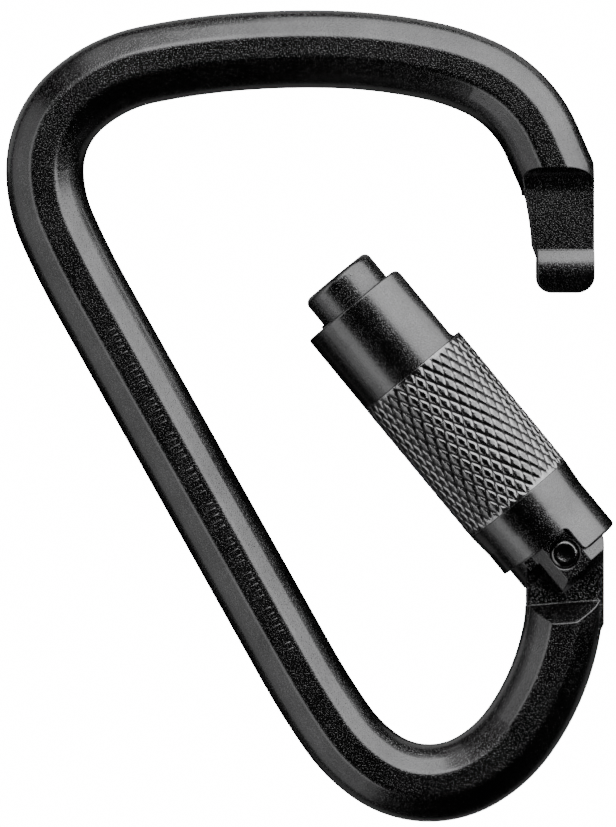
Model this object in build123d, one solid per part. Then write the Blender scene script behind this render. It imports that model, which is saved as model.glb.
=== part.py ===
"""Locking carabiner: forged steel body, swinging gate and a twisting locking sleeve.

Millimetres. X runs from the spine to the gate, Y is the thickness, +Z is up along
the closed gate. The origin is the inner crown of the wide (anchor) end.
The gate is drawn open, with the sleeve pulled down in its unlocked position.
"""
import os
from math import cos, radians, sin, sqrt

from build123d import *

os.makedirs("parts", exist_ok=True)

# ---------------------------------------------------------------- driving dimensions
BAR = 12.0              # bar thickness and width of the forged body
BAND = 1.85             # half width of the flat along the front and the back
BEVEL_X, BEVEL_Y = 3.95, 4.30   # where the bevel meets the rounded side
SOFT = 1.5              # rounding between the flat and the bevels
PIVOT = (40.4, -71.5)   # hinge rivet centre, X and Z
GATE_OPEN = 39.5        # opening angle drawn, degrees

TANG_T = 5.0            # thickness of the hinge tang on the body
TANG_TOP = 5.0          # flat cam on top of the tang, above the rivet
TANG_L, TANG_R = 5.55, 6.3   # tang edges, inner and outer, from the rivet
EAR_X, EAR_Y = 3.85, 7.6     # inner edge and flat face of the fork ears
FORK_GAP = 5.2          # slot of the gate fork
RIVET_D = 4.5
BASE_R = 8.0            # gate base, under the sleeve
ROD_R = 6.6             # gate rod
GATE_LO, STEP_T, GATE_TOP = -4.6, 17.0, 55.0
FORK_TOP = 7.6
SPRING_BORE = 4.0
BORE_END = 30.0

NECK_T = 4.8            # neck of the nose
HEAD_T = 7.6            # hammer head of the nose
HEAD_LO, HEAD_HI = 40.0, 46.5
POCKET_LO, POCKET_HI, POCKET_W = 39.2, 46.9, 8.0
NECK_SLOT = 5.2

SLEEVE_LO, SKIRT_LO, SLEEVE_TOP = 3.1, -1.6, 50.0
COLLAR_R, COLLAR_T = 9.0, 6.8
SLEEVE_R = 9.36
SLEEVE_BORE = BASE_R + 0.06
UPPER_BORE = ROD_R + 0.07
SHOULDER_T = 35.2       # inner shoulder the sleeve spring pushes on
KNURL_LO, KNURL_HI = 10.8, 36.2
KNURL_R = 9.08          # root of the knurled band
WINDOW_W, WINDOW_LO = 9.85, 36.4
SLEEVE_UP = 5.0         # how far the sleeve climbs while it twists 90 degrees
PIN_T, PIN_D = 14.5, 2.0

# centre line of the bar: heading in degrees at the start of each arc, then its length
START = (39.312, -12.842)
ARCS = [
    (113.850, 5.2450), (113.541, 14.1232), (155.744, 8.2675), (168.614, 15.0781),
    (178.572, 17.3438), (185.891, 11.1481), (191.836, 12.1591), (221.455, 12.5703),
    (271.098, 8.8006), (293.791, 12.0740), (299.240, 64.4664), (299.240, 11.7273),
    (304.973, 8.4620), (325.132, 16.3240), (390.020, 9.0967), (414.666, 17.3818),
    (440.433, 0.0),
]


def arc_path():
    """Tangent lines and arcs of the bar, with a short turn to vertical at each end."""
    edges = []
    x, z = START
    # nose end: from vertical into the first heading
    r = 9.0
    turn = radians(ARCS[0][0] - 90.0)
    sx = x + r * (1 - cos(turn))
    sz = z - r * sin(turn)
    m = turn / 2
    mid = (sx - r * (1 - cos(m)), sz + r * sin(m))
    edges.append(Edge.make_three_point_arc((sx, 0, sz), (mid[0], 0, mid[1]), (x, 0, z)))
    for (h0, length), (h1, _) in zip(ARCS[:-1], ARCS[1:]):
        a0, da = radians(h0), radians(h1 - h0)
        if abs(h1 - h0) < 0.01:
            nx, nz = x + length * cos(a0), z + length * sin(a0)
            edges.append(Edge.make_line((x, 0, z), (nx, 0, nz)))
        else:
            r = length / da

            def at(f):
                return (x + r * (sin(a0 + f * da) - sin(a0)),
                        z - r * (cos(a0 + f * da) - cos(a0)))
            (mx, mz), (nx, nz) = at(0.5), at(1.0)
            edges.append(Edge.make_three_point_arc((x, 0, z), (mx, 0, mz), (nx, 0, nz)))
        x, z = nx, nz
    # hinge end: turn to vertical
    h = radians(ARCS[-1][0] - 360.0)
    turn = radians(90.0) - h
    r = 20.0

    def last(f):
        return (x + r * (sin(h + f * turn) - sin(h)), z - r * (cos(h + f * turn) - cos(h)))
    (mx, mz), (nx, nz) = last(0.5), last(1.0)
    edges.append(Edge.make_three_point_arc((x, 0, z), (mx, 0, mz), (nx, 0, nz)))
    edges.append(Edge.make_line((nx, 0, nz), (nx, 0, nz + 3.0)))
    return edges, (sx, sz), (nx, nz)


def bar_section(plane):
    """Flattened octagon with rounded sides."""
    h = BAR / 2
    q = [(BAND, h), (BEVEL_X, BEVEL_Y)]
    edges = []

    def sx(p, i, j):
        return (p[0] * i, p[1] * j, 0)
    for i, j in ((1, 1), (1, -1), (-1, -1), (-1, 1)):
        edges.append(Edge.make_line(sx(q[0], i, j), sx(q[1], i, j)))
    for i in (1, -1):
        edges.append(Edge.make_three_point_arc(sx(q[1], i, 1), (h * i, 0, 0), sx(q[1], i, -1)))
    for j in (1, -1):
        edges.append(Edge.make_line(sx(q[0], 1, j), sx(q[0], -1, j)))
    face = Face(Wire(edges))
    corners = [v for v in face.vertices() if abs(v.Y) > h - 0.01]
    return plane * face.fillet_2d(SOFT, corners)


def prism_xz(points, y0, y1):
    """Extrude a closed XZ outline from y0 to y1."""
    wire = Wire.make_polygon([(x, 0, z) for x, z in points], close=True)
    face = Face(wire)
    solid = Solid.extrude(face, Vector(0, y1 - y0, 0))
    return Pos(0, y0, 0) * solid


def gate(shape):
    """From gate coordinates (X outer side, Z along the rod, origin on the rivet) to place."""
    return Pos(PIVOT[0], 0, PIVOT[1]) * Rot(0, -GATE_OPEN, 0) * shape


def cyl(r, z0, z1):
    return Pos(0, 0, (z0 + z1) / 2) * Cylinder(r, z1 - z0)


def box(x0, x1, y0, y1, z0, z1):
    return Pos((x0 + x1) / 2, (y0 + y1) / 2, (z0 + z1) / 2) * Box(x1 - x0, y1 - y0, z1 - z0)


def cyl_y(r, x, z, y0, y1):
    return Pos(x, (y0 + y1) / 2, z) * Rot(90, 0, 0) * Cylinder(r, y1 - y0)


# ---------------------------------------------------------------- carabiner body
edges, nose_end, hinge_end = arc_path()
plane = Plane(origin=(nose_end[0], 0, nose_end[1]), x_dir=(1, 0, 0), z_dir=(0, 0, 1))
bar = sweep(bar_section(plane), path=Wire(edges))
px, pz = PIVOT

# nose: flat outer face, neck and hammer head
outer = px + 4.8
bar = bar - box(outer, outer + 10, -10, 10, -40, -9.0)
cut = Wire([
    Edge.make_line((0, NECK_T / 2, -40), (0, NECK_T / 2, -16.0)),
    Edge.make_three_point_arc((0, NECK_T / 2, -16.0),
                              (0, NECK_T / 2 + 3.5 * (1 - sqrt(0.5)), -16.0 + 3.5 * sqrt(0.5)),
                              (0, NECK_T / 2 + 3.5, -12.5)),
    Edge.make_line((0, NECK_T / 2 + 3.5, -12.5), (0, 9, -12.5)),
    Edge.make_line((0, 9, -12.5), (0, 9, -40)),
    Edge.make_line((0, 9, -40), (0, NECK_T / 2, -40)),
])
shoulder = Pos(30, 0, 0) * Solid.extrude(Face(cut), Vector(20, 0, 0))
bar = bar - shoulder - mirror(shoulder, about=Plane.XZ)
neck = prism_xz([(34.3, -15.6), (34.8, -17.2), (35.2, -19.5), (35.55, -21.9), (35.7, -24.1),
                 (36.4, -26.0), (37.4, -29.5), (outer - 0.6, -29.5), (outer, -26.5), (outer, -14.5),
                 (outer - 1, -13.0), (36.5, -13.0)],
                -NECK_T / 2, NECK_T / 2)
head = box(36.45, outer, -9, 9, pz + HEAD_LO, pz + HEAD_HI)
head = fillet(head.edges().filter_by(Axis.Y).group_by(Axis.Z)[0], 2.4)
top, low, half = pz + HEAD_HI, pz + HEAD_LO, HEAD_T / 2
roll = Wire([
    Edge.make_line((0, -(half - 1.0), top), (0, half - 1.0, top)),
    Edge.make_three_point_arc((0, half - 1.0, top), (0, half, top - 2.9), (0, half - 1.7, low)),
    Edge.make_line((0, half - 1.7, low), (0, -(half - 1.7), low)),
    Edge.make_three_point_arc((0, -(half - 1.7), low), (0, -half, top - 2.9), (0, -(half - 1.0), top)),
])
head = head & (Pos(30, 0, 0) * Solid.extrude(Face(roll), Vector(20, 0, 0)))

# hinge tang: thin plate, sloping facets where it leaves the round bar
facet = Wire.make_polygon([(0, TANG_T / 2, 0), (0, 9, -0.85 * (9 - TANG_T / 2)), (0, 9, 20), (0, TANG_T / 2, 20)],
                          close=True)
facet = Pos(-20, 0, 0) * Solid.extrude(Face(facet), Vector(40, 0, 0))
facet = Pos(px, 0, pz - 7.7) * Rot(0, -4.2, 0) * facet
bar = bar - facet - mirror(facet, about=Plane.XZ)
tang_l, tang_r = px - TANG_L, px + TANG_R
bar = bar - box(tang_l - 9, tang_l, -10, 10, hinge_end[1], hinge_end[1] + 9)
bar = bar - box(tang_r, tang_r + 9, -10, 10, hinge_end[1], hinge_end[1] + 9)
tang = prism_xz([(tang_l, -83.0), (tang_r - 1.2, -85.0), (tang_r, -82.4), (tang_r, pz),
                 (tang_r, pz + TANG_TOP), (tang_l, pz + TANG_TOP)], -TANG_T / 2, TANG_T / 2)
tang = fillet(tang.edges().filter_by(Axis.Y).group_by(Axis.Z)[-1].sort_by(Axis.X)[0], 1.0)
tang = fillet(tang.edges().filter_by(Axis.Y).group_by(Axis.Z)[-1].sort_by(Axis.X)[-1], 3.5)
body = bar + neck + head + tang
body = body - cyl_y(RIVET_D / 2 + 0.05, px, pz, -4, 4)

# ---------------------------------------------------------------- gate rod
rod = cyl(BASE_R, GATE_LO, STEP_T) + cyl(ROD_R, STEP_T, GATE_TOP)
rod = fillet(rod.edges().group_by(Axis.Z)[-1], 1.0)
rod = chamfer(rod.edges().group_by(Axis.Z)[0], 1.3)
# two ears either side of the tang, flat over the rivet, bevelled on the inner side
rod = rod - box(-10, 10, EAR_Y, 12, -10, SLEEVE_LO - 0.4) - box(-10, 10, -12, -EAR_Y, -10, SLEEVE_LO - 0.4)
for j in (1, -1):
    bevel = Wire.make_polygon([(-2.15, j * EAR_Y, -10), (-4.15, j * (EAR_Y - 2.0), -10), (-9, j * (EAR_Y - 2.0), -10), (-9, j * 9, -10),
                               (-2.15, j * 9, -10)], close=True)
    rod = rod - Solid.extrude(Face(bevel), Vector(0, 0, 10 + SLEEVE_LO - 0.3))
    toe = Wire.make_polygon([(-12, j * (EAR_Y + 0.1), GATE_LO + 0.9), (-12, j * (EAR_Y - 0.9), GATE_LO - 0.1),
                             (-12, j * 9, GATE_LO - 0.1), (-12, j * 9, GATE_LO + 0.9)], close=True)
    rod = rod - Solid.extrude(Face(toe), Vector(24, 0, 0))
c, sn = cos(radians(GATE_OPEN)), sin(radians(GATE_OPEN))
# the inner side of the fork is closed by a wall: it meets the tang when the gate is fully open
stop = TANG_L + 0.1
lip_lo, reach = -0.5, 12.0
lip = prism_xz([(-reach, lip_lo), ((-stop + lip_lo * sn) / c, lip_lo), (-stop, (stop - stop * c) / sn),
                (-stop, SLEEVE_LO - 0.1), (-reach, SLEEVE_LO - 0.1)], -10, 10)
gap = prism_xz([(-12, -10), (-EAR_X, -10), (-EAR_X, 1.2), (-stop, 1.2), (-stop, SLEEVE_LO - 0.1),
                (-12, SLEEVE_LO - 0.1)], -10, 10) - lip
rod = rod - gap
slot = box(-stop, 12, -FORK_GAP / 2, FORK_GAP / 2, -10, FORK_TOP)
rod = rod - slot
# outer heel, cut back flush with the tang in the open position
heel_x = 6.0
rod = rod - prism_xz([((heel_x + t * sn) / c, t) for t in (1.0, -9.0)] + [(14, -9.0), (14, 1.0)], -10, 10)
# pocket for the hammer head and slot for the neck, open on the outer side
pocket = box(-4.35, 10, -POCKET_W / 2, POCKET_W / 2, POCKET_LO, POCKET_HI)
pocket = fillet(pocket.edges().filter_by(Axis.Z).group_by(Axis.X)[0], 0.9)
pocket = fillet(pocket.edges().filter_by(Axis.Y).group_by(Axis.X)[0].sort_by(Axis.Z)[0], 0.9)
rod = rod - pocket
rod = rod - box(-5.35, 10, -NECK_SLOT / 2, NECK_SLOT / 2, POCKET_HI - 0.5, 60)
rod = rod - box(-10, 10, -NECK_SLOT / 2, NECK_SLOT / 2, 50.4, 60)
rod = rod - cyl(SPRING_BORE / 2, FORK_TOP - 0.5, BORE_END)
rod = rod - cyl_y(RIVET_D / 2, 0, 0, -9, 9)
for j in (1, -1):
    sink = Pos(0, j * (EAR_Y - 0.1), 0) * Rot(-90 * j, 0, 0) * Cone(RIVET_D / 2, RIVET_D / 2 + 0.2, 0.2)
    rod = rod - sink
rod = rod - Pos(-6.5, 0, PIN_T) * Rot(0, 90, 0) * Cylinder(PIN_D / 2, 4.0)

# ---------------------------------------------------------------- hinge rivet, rolled and dished ends
rivet = cyl_y(RIVET_D / 2, 0, 0, -7.7, 7.7)
rivet = fillet(rivet.edges().group_by(Axis.Y)[0] + rivet.edges().group_by(Axis.Y)[-1], 0.8)
for side in (1, -1):
    rivet = rivet - Pos(0, side * 12.35, 0) * Sphere(4.8)

# ---------------------------------------------------------------- plunger and gate spring
TIP = 6.80
plunger = Pos(0, 0, TIP + 1.95) * Sphere(1.95) + cyl(1.95, TIP + 1.95, 12.0) + cyl(1.1, 12.0, 15.0)
plunger = chamfer(plunger.edges().group_by(Axis.Z)[-1], 0.25)


def coil(mean_r, wire_r, z0, z1, turns):
    """Compression spring between z0 and z1."""
    height = z1 - z0 - 2 * wire_r
    pitch = height / turns
    path = Helix(pitch=pitch, height=height, radius=mean_r)
    start = path @ 0
    direction = path % 0
    section = Plane(origin=start, z_dir=direction) * Circle(wire_r)
    return Pos(0, 0, z0 + wire_r) * sweep(section, path=path, is_frenet=True)


gate_spring = coil(1.5, 0.3, 12.05, BORE_END - 0.05, 11)

# ---------------------------------------------------------------- sleeve spring, seat washer and thrust ring
washer = cyl(7.95, STEP_T + 0.02, STEP_T + 0.92) - cyl(ROD_R + 0.04, 0, 40)
ring = cyl(7.98, SHOULDER_T - 1.0, SHOULDER_T - 0.04) - cyl(ROD_R + 0.06, 0, 60)
sleeve_spring = coil(7.33, 0.55, STEP_T + 0.98, SHOULDER_T - 1.06, 6.5)

# ---------------------------------------------------------------- guide pin
pin = Pos(-6.55, 0, PIN_T) * Rot(0, 90, 0) * Cylinder(PIN_D / 2, 3.9)
pin = chamfer(pin.edges().group_by(Axis.X)[0], 0.2)

# ---------------------------------------------------------------- locking sleeve
sleeve = cyl(COLLAR_R, SKIRT_LO, COLLAR_T) + cyl(SLEEVE_R, KNURL_LO - 0.2, SLEEVE_TOP)
sleeve = sleeve + Pos(0, 0, (COLLAR_T + KNURL_LO - 0.2) / 2) * Cone(COLLAR_R, SLEEVE_R, KNURL_LO - 0.2 - COLLAR_T)
sleeve = fillet(sleeve.edges().group_by(Axis.Z)[-1], 0.4)
sleeve = chamfer(sleeve.edges().group_by(Axis.Z)[0], 0.3)
sleeve = sleeve - (cyl(SLEEVE_R + 1, KNURL_LO, KNURL_HI) - cyl(KNURL_R, 0, 40))
sleeve = sleeve - cyl(SLEEVE_BORE, -10, SHOULDER_T) - cyl(UPPER_BORE, -10, 60)
# skirt: a tongue on the outer side, the rest of the rim stops higher
edge = COLLAR_R * cos(radians(72.0))
rim = box(-12, edge, -12, 12, -6, SLEEVE_LO)
rim = fillet(rim.edges().filter_by(Axis.Y).group_by(Axis.X)[-1].group_by(Axis.Z)[-1], 0.8)
sleeve = sleeve - rim
nip = 1.0
sleeve = sleeve - (box(edge - 1, edge + nip, -12, 12, SKIRT_LO - 1, SKIRT_LO + nip)
                   - cyl_y(nip, edge + nip, SKIRT_LO + nip, -13, 13))
window = box(0, 12, -WINDOW_W / 2, WINDOW_W / 2, WINDOW_LO, 60)
window = fillet(window.edges().filter_by(Axis.X).group_by(Axis.Z)[0], 1.0)
sleeve = sleeve - window
flare = 1.3
for side in (1, -1):
    w = side * WINDOW_W / 2
    corner = box(0, 12, min(w - side * 0.5, w + side * flare), max(w - side * 0.5, w + side * flare),
                 SLEEVE_TOP - flare, 60)
    round_off = Pos(6, w + side * flare, SLEEVE_TOP - flare) * Rot(0, 90, 0) * Cylinder(flare, 14)
    sleeve = sleeve - (corner - round_off)
STEPS = 30
for i in range(STEPS + 1):
    f = i / STEPS
    groove = Rot(0, 0, -90.0 * f) * Pos(-7.65, 0, PIN_T - SLEEVE_UP * f) * Rot(0, 90, 0) * Cylinder(PIN_D / 2 + 0.08, 2.1)
    sleeve = sleeve - groove

NODES = {
    "carabiner_body": body,
    "gate_rod": gate(rod),
    "hinge_rivet": gate(rivet),
    "gate_plunger": gate(plunger),
    "gate_return_spring": gate(gate_spring),
    "locking_sleeve": gate(sleeve),
    "sleeve_spring": gate(sleeve_spring),
    "sleeve_guide_pin": gate(pin),
    "spring_thrust_ring": gate(ring),
    "spring_seat_washer": gate(washer),
}
for name, shape in NODES.items():
    solids = shape.solids()
    if len(solids) != 1:
        raise ValueError(f"{name} has {len(solids)} solids")
    export_step(solids[0], f"parts/{name}.step")
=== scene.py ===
import math

import bmesh
import bpy
import numpy as np
from mathutils import Matrix, Vector


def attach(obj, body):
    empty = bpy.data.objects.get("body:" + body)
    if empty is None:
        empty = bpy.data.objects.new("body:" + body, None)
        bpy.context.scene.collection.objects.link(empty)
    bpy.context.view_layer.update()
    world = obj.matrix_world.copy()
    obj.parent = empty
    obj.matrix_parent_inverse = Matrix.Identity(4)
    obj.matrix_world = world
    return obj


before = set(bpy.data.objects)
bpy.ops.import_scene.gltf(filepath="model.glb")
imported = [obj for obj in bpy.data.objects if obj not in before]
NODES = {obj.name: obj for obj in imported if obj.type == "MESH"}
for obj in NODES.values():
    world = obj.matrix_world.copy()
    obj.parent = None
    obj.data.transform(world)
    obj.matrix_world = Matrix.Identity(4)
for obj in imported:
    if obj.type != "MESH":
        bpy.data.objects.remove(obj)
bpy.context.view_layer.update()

PIVOT = Vector((0.0404, 0.0, -0.0715))
OPEN = math.radians(39.5)
GATE = Matrix.Translation(PIVOT) @ Matrix.Rotation(-OPEN, 4, "Y")
MM = 0.001


# ------------------------------------------------------------------ materials
def new_material(name):
    m = bpy.data.materials.new(name)
    m.use_nodes = True
    nt = m.node_tree
    nt.nodes.clear()
    out = nt.nodes.new("ShaderNodeOutputMaterial")
    bsdf = nt.nodes.new("ShaderNodeBsdfPrincipled")
    nt.links.new(bsdf.outputs["BSDF"], out.inputs["Surface"])
    return m, nt, bsdf


def node(nt, kind, **values):
    n = nt.nodes.new(kind)
    for k, v in values.items():
        if k in n.inputs:
            n.inputs[k].default_value = v
        else:
            setattr(n, k, v)
    return n


def noise(nt, coord, scale, detail=3.0, rough=0.6):
    n = nt.nodes.new("ShaderNodeTexNoise")
    n.inputs["Scale"].default_value = scale
    n.inputs["Detail"].default_value = detail
    n.inputs["Roughness"].default_value = rough
    nt.links.new(coord, n.inputs["Vector"])
    return n.outputs["Fac"]


def ramp(nt, fac, stops):
    n = nt.nodes.new("ShaderNodeValToRGB")
    e = n.color_ramp.elements
    while len(e) < len(stops):
        e.new(0.5)
    for i, (p, c) in enumerate(stops):
        e[i].position = p
        e[i].color = (c, c, c, 1) if isinstance(c, float) else (*c, 1)
    nt.links.new(fac, n.inputs["Fac"])
    return n.outputs["Color"]


def edge_mask(nt, radius):
    """1 on sharp edges, 0 on faces, from the difference between the bevelled and the true normal."""
    bevel = nt.nodes.new("ShaderNodeBevel")
    bevel.samples = 6
    bevel.inputs["Radius"].default_value = radius
    geo = nt.nodes.new("ShaderNodeNewGeometry")
    dot = nt.nodes.new("ShaderNodeVectorMath")
    dot.operation = "DOT_PRODUCT"
    nt.links.new(bevel.outputs["Normal"], dot.inputs[0])
    nt.links.new(geo.outputs["Normal"], dot.inputs[1])
    return bevel.outputs["Normal"], ramp(nt, dot.outputs["Value"], [(0.80, 1.0), (0.985, 0.0)])


def coated_steel(name, base, grain=1.0, rough=0.2, bevel=0.0003, wear=0.5, crest=None, size=1.0):
    """Black coat over forged steel: a sandy grain that sparkles, faint colour changes, edges rubbed paler."""
    m, nt, bsdf = new_material(name)
    coord = nt.nodes.new("ShaderNodeTexCoord").outputs["Object"]
    sand = noise(nt, coord, 5000.0 * size, 1.5, 0.5)
    fine = noise(nt, coord, 9000.0 * size, 2.0, 0.6)
    broad = noise(nt, coord, 160.0, 4.0, 0.55)
    wave = noise(nt, coord, 45.0, 2.0, 0.5)
    normal, mask = edge_mask(nt, bevel)
    # relief: sand grains, a finer tooth on them, and very faint forging waves
    b1 = node(nt, "ShaderNodeBump", Strength=min(1.0, grain), Distance=0.000028 * max(1.0, grain))
    nt.links.new(ramp(nt, sand, [(0.56, 0.0), (0.76, 1.0)]), b1.inputs["Height"])
    nt.links.new(normal, b1.inputs["Normal"])
    b2 = node(nt, "ShaderNodeBump", Strength=0.40 * grain, Distance=0.000005)
    nt.links.new(fine, b2.inputs["Height"])
    nt.links.new(b1.outputs["Normal"], b2.inputs["Normal"])
    b3 = node(nt, "ShaderNodeBump", Strength=0.05, Distance=0.0001)
    nt.links.new(wave, b3.inputs["Height"])
    nt.links.new(b2.outputs["Normal"], b3.inputs["Normal"])
    nt.links.new(b3.outputs["Normal"], bsdf.inputs["Normal"])
    # colour: slight variation, darker pits between the grains, paler on rubbed edges
    tint = ramp(nt, broad, [(0.30, tuple(0.85 * v for v in base)), (0.72, tuple(1.12 * v for v in base))])
    speck = ramp(nt, sand, [(0.38, 0.80), (0.66, 1.22)])
    mul = nt.nodes.new("ShaderNodeMix")
    mul.data_type = "RGBA"
    mul.blend_type = "MULTIPLY"
    mul.inputs[0].default_value = 1.0
    nt.links.new(tint, mul.inputs[6])
    nt.links.new(speck, mul.inputs[7])
    worn = nt.nodes.new("ShaderNodeMath")
    worn.operation = "MULTIPLY"
    nt.links.new(mask, worn.inputs[0])
    nt.links.new(ramp(nt, broad, [(0.35, 0.15 * wear), (0.65, wear)]), worn.inputs[1])
    mix = nt.nodes.new("ShaderNodeMix")
    mix.data_type = "RGBA"
    nt.links.new(worn.outputs[0], mix.inputs[0])
    nt.links.new(mul.outputs[2], mix.inputs[6])
    mix.inputs[7].default_value = (0.42, 0.42, 0.43, 1)
    colour = mix.outputs[2]
    if crest:
        # crests paler as rubbed metal and as a painted highlight, groove roots darkened as painted shade, by the
        # distance from the axis
        flat = nt.nodes.new("ShaderNodeVectorMath")
        flat.operation = "MULTIPLY"
        flat.inputs[1].default_value = (1, 1, 0)
        nt.links.new(coord, flat.inputs[0])
        dist = nt.nodes.new("ShaderNodeVectorMath")
        dist.operation = "LENGTH"
        nt.links.new(flat.outputs[0], dist.inputs[0])
        span = node(nt, "ShaderNodeMapRange")
        span.inputs["From Min"].default_value = crest[0]
        span.inputs["From Max"].default_value = crest[1]
        nt.links.new(dist.outputs["Value"], span.inputs["Value"])
        crest_sheen_root_shade = nt.nodes.new("ShaderNodeMix")
        crest_sheen_root_shade.data_type = "RGBA"
        crest_sheen_root_shade.blend_type = "MULTIPLY"
        crest_sheen_root_shade.inputs[0].default_value = 1.0
        nt.links.new(colour, crest_sheen_root_shade.inputs[6])
        # painted shade in the groove roots (0.10); painted highlight together with rubbed metal on the crests (up to
        # 3.0)
        nt.links.new(ramp(nt, span.outputs["Result"], [(0.0, 0.10), (0.25, 0.45), (0.55, 3.0), (0.85, 2.6), (1.0, 1.4)]), crest_sheen_root_shade.inputs[7])
        colour = crest_sheen_root_shade.outputs[2]
    nt.links.new(colour, bsdf.inputs["Base Color"])
    nt.links.new(ramp(nt, broad, [(0.25, rough - 0.03), (0.75, rough + 0.04)]), bsdf.inputs["Roughness"])
    bsdf.inputs["Metallic"].default_value = 1.0
    return m


def bare_steel(name, base, rough, turned=False):
    """Machined or drawn steel: fine lines and small colour changes."""
    m, nt, bsdf = new_material(name)
    coord = nt.nodes.new("ShaderNodeTexCoord").outputs["Object"]
    stretch = nt.nodes.new("ShaderNodeMapping")
    stretch.inputs["Scale"].default_value = (1.0, 1.0, 6.0) if turned else (1.0, 1.0, 1.0)
    nt.links.new(coord, stretch.inputs["Vector"])
    lines = noise(nt, stretch.outputs["Vector"], 2500.0, 3.0, 0.6)
    broad = noise(nt, coord, 220.0, 3.0, 0.5)
    normal, mask = edge_mask(nt, 0.00015)
    b = node(nt, "ShaderNodeBump", Strength=0.25, Distance=0.00001)
    nt.links.new(lines, b.inputs["Height"])
    nt.links.new(normal, b.inputs["Normal"])
    nt.links.new(b.outputs["Normal"], bsdf.inputs["Normal"])
    nt.links.new(ramp(nt, broad, [(0.3, tuple(0.85 * v for v in base)), (0.7, base)]), bsdf.inputs["Base Color"])
    nt.links.new(ramp(nt, lines, [(0.3, rough - 0.05), (0.7, rough + 0.08)]), bsdf.inputs["Roughness"])
    bsdf.inputs["Metallic"].default_value = 1.0
    return m


BODY = coated_steel("coated_steel", (0.17, 0.17, 0.172), grain=0.9, rough=0.22, bevel=0.0003, wear=0.25)
SLEEVE = coated_steel("coated_sleeve", (0.185, 0.185, 0.187), grain=0.55, size=1.3, rough=0.20, bevel=0.00025, wear=0.3)
KNURL = coated_steel("coated_knurl", (0.16, 0.16, 0.162), grain=0.35, size=1.3, rough=0.20, bevel=0.00008, wear=0.2,
                     crest=(0.00913, 0.00940))
RIVET = coated_steel("rivet_steel", (0.24, 0.24, 0.24), grain=0.3, rough=0.16, bevel=0.00015, wear=0.6)
BARE = bare_steel("machined_steel", (0.58, 0.58, 0.57), 0.3, turned=True)
SPRING = bare_steel("spring_wire", (0.46, 0.46, 0.47), 0.25)

LOOKS = {
    "carabiner_body": BODY, "gate_rod": BODY, "locking_sleeve": SLEEVE, "hinge_rivet": RIVET,
    "gate_plunger": BARE, "sleeve_guide_pin": BARE, "spring_thrust_ring": BARE, "spring_seat_washer": BARE,
    "gate_return_spring": SPRING, "sleeve_spring": SPRING,
}


def smooth(o, angle=28.0):
    o.data.shade_smooth()
    o.data.set_sharp_from_angle(angle=math.radians(angle))


for name, look in LOOKS.items():
    o = NODES[name]
    o.data.materials.clear()
    o.data.materials.append(look)


# ------------------------------------------------------------------ knurled band of the sleeve
def knurl_band(t0, t1, r_top, depth, starts, slant):
    """Diamond knurl: two crossing sets of narrow V grooves cut into a cylinder."""
    n_phi, n_t = 900, 340
    t = np.linspace(t0, t1, n_t)
    phi = np.linspace(0, 2 * np.pi, n_phi, endpoint=False)
    T, F = np.meshgrid(t, phi, indexing="ij")
    run = np.tan(np.radians(slant)) / r_top
    rng = np.random.default_rng(7)

    def groove(sign):
        ph = (F + sign * T * run) * starts / (2 * np.pi)
        d = np.abs(ph - np.round(ph))          # 0 at the groove centre, 0.5 at mid land
        return 1 - (1 - np.clip(d / 0.36, 0, 1)) ** 2.0
    # cushions between the grooves; one wheel of the knurling tool bites deeper than the other
    lands = groove(1.0) * (1 - 0.72 * (1 - groove(-1.0)))
    edge = np.clip(np.minimum((T - t0) / 0.9, (t1 - T) / 0.9), 0, 1)
    r = r_top - depth * (1 - lands) * edge - 0.05 * (1 - edge) + rng.normal(0, 0.004, T.shape)
    co = np.stack([r * np.cos(F), r * np.sin(F), T], -1).reshape(-1, 3) * MM
    idx = np.arange(n_t * n_phi).reshape(n_t, n_phi)
    a = idx[:-1]
    b = idx[1:]
    faces = np.stack([a, np.roll(a, -1, 1), np.roll(b, -1, 1), b], -1).reshape(-1, 4)
    # inner return so the band is a closed ring
    r_in = r_top - depth - 0.12
    lo = np.stack([r_in * np.cos(phi), r_in * np.sin(phi), np.full(n_phi, t0)], -1) * MM
    hi = np.stack([r_in * np.cos(phi), r_in * np.sin(phi), np.full(n_phi, t1)], -1) * MM
    base = len(co)
    co = np.vstack([co, lo, hi])
    li = base + np.arange(n_phi)
    ui = base + n_phi + np.arange(n_phi)
    f0 = idx[0]
    f1 = idx[-1]
    faces = np.vstack([
        faces,
        np.stack([np.roll(f0, -1), f0, li, np.roll(li, -1)], -1),
        np.stack([f1, np.roll(f1, -1), np.roll(ui, -1), ui], -1),
        np.stack([np.roll(li, -1), li, ui, np.roll(ui, -1)], -1),
    ])
    me = bpy.data.meshes.new("sleeve_knurl")
    me.from_pydata(co.tolist(), [], faces.tolist())
    me.update()
    return me


band = bpy.data.objects.new("sleeve_knurl", knurl_band(10.8, 36.2, 9.40, 0.28, 33, 30.0))
bpy.context.scene.collection.objects.link(band)
band.matrix_world = GATE
band.data.shade_smooth()
band.data.materials.append(KNURL)
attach(band, "sleeve")


# ------------------------------------------------------------------ plain raised ticks along the spine
def spine_ticks(start, heading, length):
    """Rows of five low raised ticks across the flat of the spine, front face, edges eased."""
    bm = bmesh.new()
    along = Vector((math.cos(heading), 0, math.sin(heading)))
    across = Vector((-along.z, 0, along.x))
    s, count = 0.0, 0
    while s < length:
        centre = Vector(start) + along * (s * MM)
        made = bmesh.ops.create_cube(bm, size=1.0)
        turn = Matrix((along, Vector((0, 1, 0)), across)).transposed().to_4x4()
        grow = Matrix.Diagonal((0.30 * MM, 0.20 * MM, 1.75 * MM, 1.0))
        bmesh.ops.transform(bm, matrix=Matrix.Translation(centre) @ turn @ grow, verts=made["verts"])
        count += 1
        s += 1.0 if count % 5 else 2.1
    edges = [e for e in bm.edges]
    bmesh.ops.bevel(bm, geom=edges, offset=0.07 * MM, segments=2, profile=0.5, affect="EDGES")
    bmesh.ops.recalc_face_normals(bm, faces=bm.faces)
    me = bpy.data.meshes.new("spine_ticks")
    bm.to_mesh(me)
    bm.free()
    return me


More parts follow.
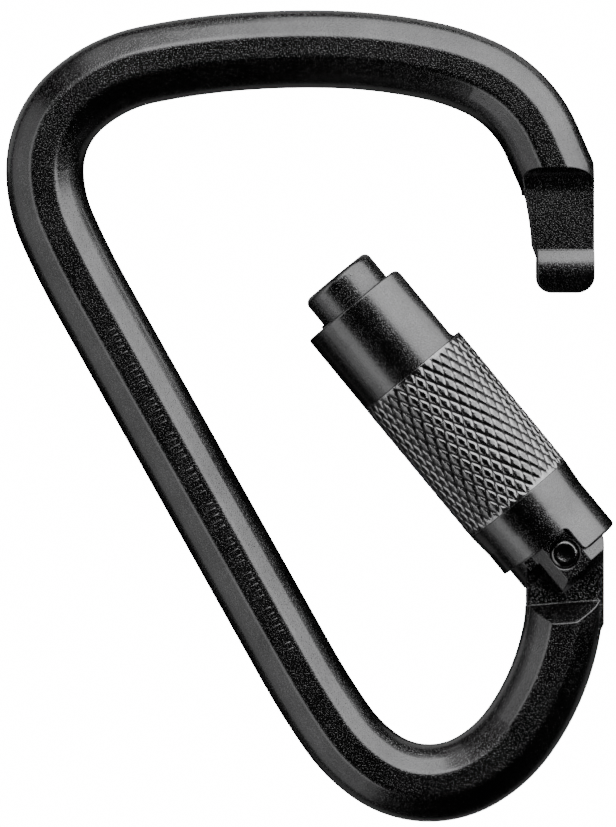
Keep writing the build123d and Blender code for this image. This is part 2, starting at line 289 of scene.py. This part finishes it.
ticks = bpy.data.objects.new("spine_ticks", spine_ticks((-0.02903, -0.00599, -0.03749), math.radians(299.24), 56.0))
bpy.context.scene.collection.objects.link(ticks)
smooth(ticks, 40.0)
ticks.data.materials.append(BODY)
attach(ticks, "frame")


# ------------------------------------------------------------------ stage, light, camera
def emission_world():
    w = bpy.data.worlds.new("studio")
    bpy.context.scene.world = w
    w.use_nodes = True
    nt = w.node_tree
    nt.nodes.clear()
    out = nt.nodes.new("ShaderNodeOutputWorld")
    dark = nt.nodes.new("ShaderNodeBackground")
    dark.inputs["Color"].default_value = (1, 1, 1, 1)
    dark.inputs["Strength"].default_value = 0.004
    pale = nt.nodes.new("ShaderNodeBackground")
    pale.inputs["Color"].default_value = (1, 1, 1, 1)
    pale.inputs["Strength"].default_value = 16.0
    path = nt.nodes.new("ShaderNodeLightPath")
    mix = nt.nodes.new("ShaderNodeMixShader")
    nt.links.new(path.outputs["Is Camera Ray"], mix.inputs[0])
    nt.links.new(dark.outputs[0], mix.inputs[1])
    nt.links.new(pale.outputs[0], mix.inputs[2])
    nt.links.new(mix.outputs[0], out.inputs["Surface"])


CENTRE = Vector((0.00123, 0.0, -0.0501))


def softbox(name, ring, off, half_ring, half_off, distance, radiance):
    """A soft light seen from the object in one direction: ring is the angle round the picture from its
    right side, off the angle from the camera axis. The half angles give its size, radiance its brightness."""
    a, o = math.radians(ring), math.radians(off)
    z = Vector((math.sin(o) * math.cos(a), -math.cos(o), math.sin(o) * math.sin(a)))
    y = Vector((math.cos(o) * math.cos(a), math.sin(o), math.cos(o) * math.sin(a)))
    x = y.cross(z)
    d = bpy.data.lights.new(name, "AREA")
    d.shape = "RECTANGLE"
    d.size = 2 * distance * math.tan(math.radians(half_ring))
    d.size_y = 2 * distance * math.tan(math.radians(half_off))
    d.energy = radiance * math.pi * d.size * d.size_y
    o = bpy.data.objects.new(name, d)
    bpy.context.scene.collection.objects.link(o)
    o.matrix_world = Matrix.Translation(CENTRE + z * distance) @ Matrix((x, y, z)).transposed().to_4x4()
    return o


emission_world()
softbox("key", 56, 65, 42, 41, 1.4, 2.2)
softbox("key_fade", 110, 65, 13, 41, 1.4, 0.7)
softbox("left_near", 195, 56, 46, 12, 1.4, 1.0)
softbox("left_far", 195, 88, 50, 19, 1.4, 0.45)
softbox("back_high", 110, 142, 50, 15, 1.4, 0.45)
softbox("back_low", 290, 142, 50, 15, 1.4, 0.15)

me = bpy.data.meshes.new("floor")
bm = bmesh.new()
bmesh.ops.create_grid(bm, x_segments=1, y_segments=1, size=0.45)
bm.to_mesh(me)
bm.free()
floor = bpy.data.objects.new("floor", me)
floor.location = (0, 0, -0.165)
bpy.context.scene.collection.objects.link(floor)
pale, pnt, pb = new_material("pale_floor")
pb.inputs["Base Color"].default_value = (0.88, 0.88, 0.88, 1)
pb.inputs["Roughness"].default_value = 0.8
floor.data.materials.append(pale)
floor.visible_glossy = False
floor.visible_shadow = False

cam_data = bpy.data.cameras.new("camera")
cam = bpy.data.objects.new("camera", cam_data)
bpy.context.scene.collection.objects.link(cam)
DIST = 0.8
cam.location = CENTRE + Vector((0, -DIST, 0))
cam.rotation_euler = (math.pi / 2, 0, 0)
cam_data.lens = 36.0 * DIST / (827 * 0.000154)
cam_data.clip_start, cam_data.clip_end = 0.01, 20.0
bpy.context.scene.camera = cam
